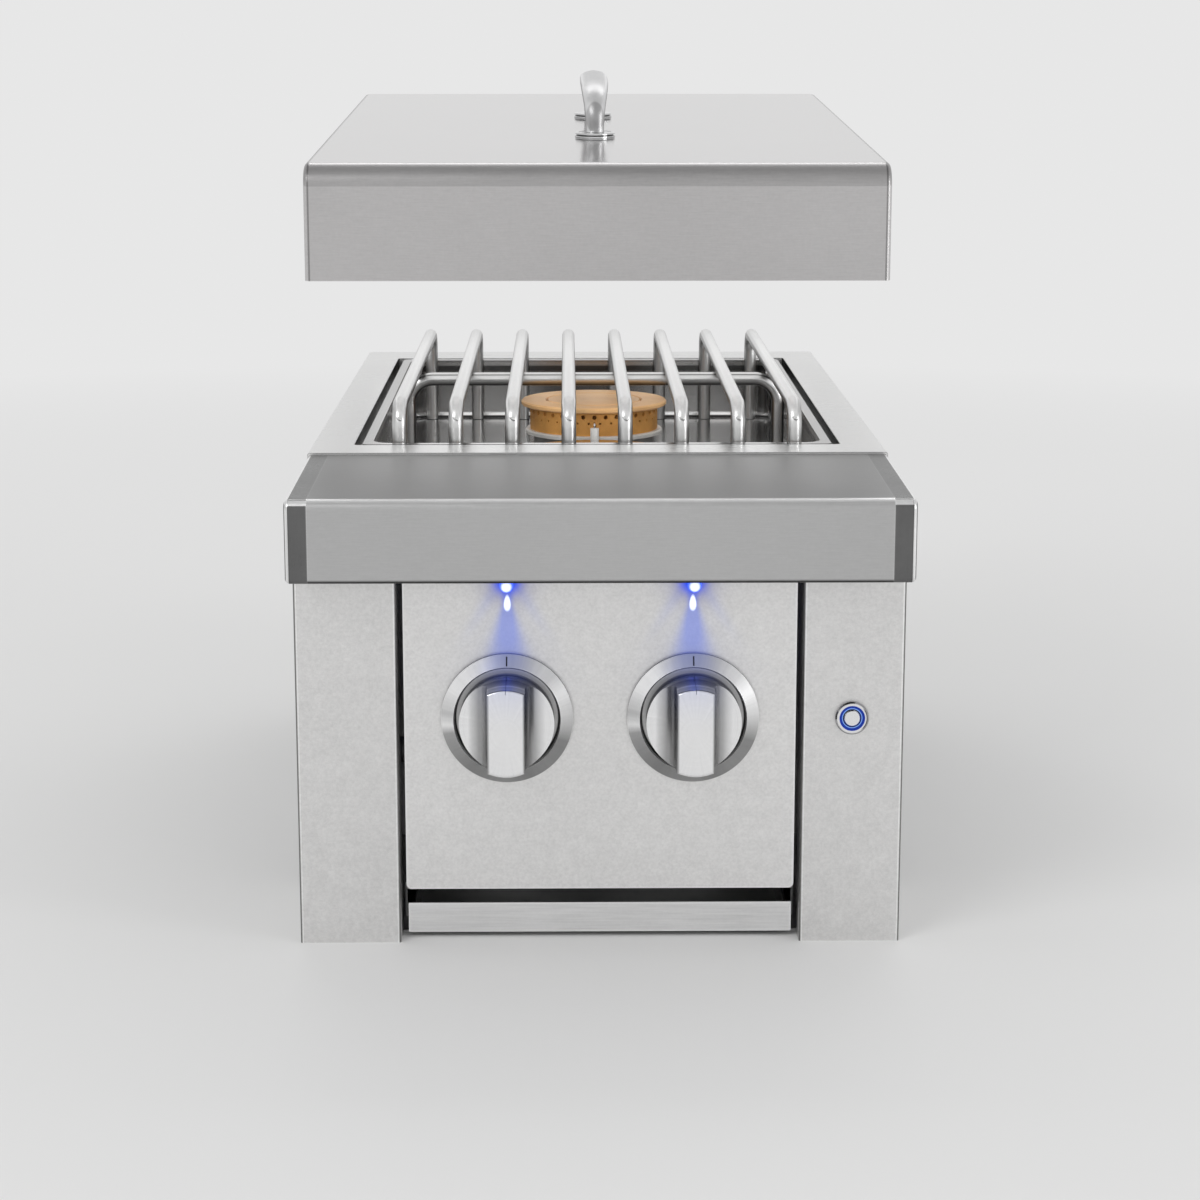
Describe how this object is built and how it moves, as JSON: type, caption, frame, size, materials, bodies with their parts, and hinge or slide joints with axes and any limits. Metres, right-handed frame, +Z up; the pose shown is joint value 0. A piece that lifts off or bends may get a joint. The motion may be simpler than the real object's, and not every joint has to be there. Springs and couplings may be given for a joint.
{
  "type": "built-in side burner",
  "caption": "Built-in outdoor side burner: deck frame with dual-ring brass burner, bar grate and pan, knob front with lights, drip tray, gas parts and lift-off lid.",
  "frame": {"origin": "middle of the whole unit's footprint, on the plane that the columns and the box stand on", "axes": "+Z up, -Y the front that the knobs face, X across the front; the long way runs front to back along Y"},
  "size_m": [0.36, 0.69, 0.5096],
  "materials": {
    "steel_brushed": "brushed",
    "steel_plain": "mill finish",
    "steel_bright": "polished",
    "grate_steel": "satin rod",
    "brass": "satin cast",
    "valve_brass": "machined",
    "casting": "as cast",
    "ceramic": "glazed",
    "lead_sleeve": "silicone sleeve",
    "dark_plastic": "moulded",
    "lens": "blue lit lens"
  },
  "bodies": {
    "unit": {"top_frame": "steel_brushed", "nose_cover": "steel_brushed", "nose_end_cap_left": "steel_brushed", "nose_end_cap_right": "steel_brushed", "pillar_left": "steel_brushed", "pillar_right": "steel_brushed", "control_panel": "steel_brushed", "box_side_left": "steel_plain", "box_side_right": "steel_plain", "box_rear": "steel_plain", "box_floor": "steel_plain", "heat_shield": "steel_plain", "tray_runner_left": "steel_plain", "tray_runner_right": "steel_plain", "rear_screws": "steel_bright", "spill_pan": "steel_brushed", "tube_cover": "steel_brushed", "burner_base": "casting", "burner_seat_ring": "steel_plain", "burner_head": "brass", "igniter_insulator": "ceramic", "igniter_electrode": "steel_bright", "igniter_lead": "lead_sleeve", "power_module": "dark_plastic", "manifold": "steel_plain", "manifold_brackets": "steel_plain", "supply_pipe": "steel_plain", "gas_inlet_fitting": "valve_brass", "valve_body_left": "valve_brass", "valve_body_right": "valve_brass", "orifices": "valve_brass", "mixing_tube_left": "steel_plain", "mixing_tube_right": "steel_plain", "air_shutters": "steel_plain", "knob_bezel_left": "steel_bright", "knob_bezel_right": "steel_bright", "led_lenses": "lens", "led_housings": "dark_plastic", "button_bezel": "steel_bright", "button_light_ring": "lens", "button_nut": "steel_bright"},
    "lid": {"lid_shell": "steel_brushed", "lid_handle": "steel_bright", "handle_feet": "steel_bright", "handle_screws": "steel_bright"},
    "grate": {"grate_bars": "grate_steel", "grate_cross_rod": "grate_steel"},
    "burner_caps": {"burner_cap_outer": "brass", "burner_cap_inner": "brass"},
    "tray": {"drip_tray": "steel_plain", "tray_front": "steel_brushed"},
    "plug_left": {"valve_plug_left": "valve_brass"},
    "plug_right": {"valve_plug_right": "valve_brass"},
    "knob_left": {"knob_left": "steel_bright", "valve_stem_left": "steel_bright"},
    "knob_right": {"knob_right": "steel_bright", "valve_stem_right": "steel_bright"},
    "button": {"button_cap": "steel_bright"}
  },
  "joints": [
    {"name": "lid_lift", "type": "slide", "parent": "unit", "child": "lid", "axis": [0, 0, 1], "range_m": [-0.1057, 0]},
    {"name": "grate_lift", "type": "slide", "parent": "unit", "child": "grate", "axis": [0, 0, 1], "range_m": [0, 0.075]},
    {"name": "burner_caps_lift", "type": "slide", "parent": "unit", "child": "burner_caps", "axis": [0, 0, 1], "range_m": [0, 0.009]},
    {"name": "tray_slide", "type": "slide", "parent": "unit", "child": "tray", "axis": [0, -1, 0], "range_m": [0, 0.4]},
    {"name": "knob_turn_left", "type": "hinge", "parent": "unit", "child": "plug_left", "pos_m": [-0.055, -0.3055, 0.139], "axis": [0, -1, 0], "range_deg": [0, 225]},
    {"name": "knob_push_left", "type": "slide", "parent": "plug_left", "child": "knob_left", "axis": [0, 1, 0], "range_m": [0, 0.0032], "stiffness_N_per_m": 1200, "springref_m": -0.004},
    {"name": "knob_turn_right", "type": "hinge", "parent": "unit", "child": "plug_right", "pos_m": [0.055, -0.3055, 0.139], "axis": [0, -1, 0], "range_deg": [0, 225]},
    {"name": "knob_push_right", "type": "slide", "parent": "plug_right", "child": "knob_right", "axis": [0, 1, 0], "range_m": [0, 0.0032], "stiffness_N_per_m": 1200, "springref_m": -0.004},
    {"name": "button_push", "type": "slide", "parent": "unit", "child": "button", "axis": [0, 1, 0], "range_m": [0, 0.0015], "stiffness_N_per_m": 900, "springref_m": -0.003}
  ]
}
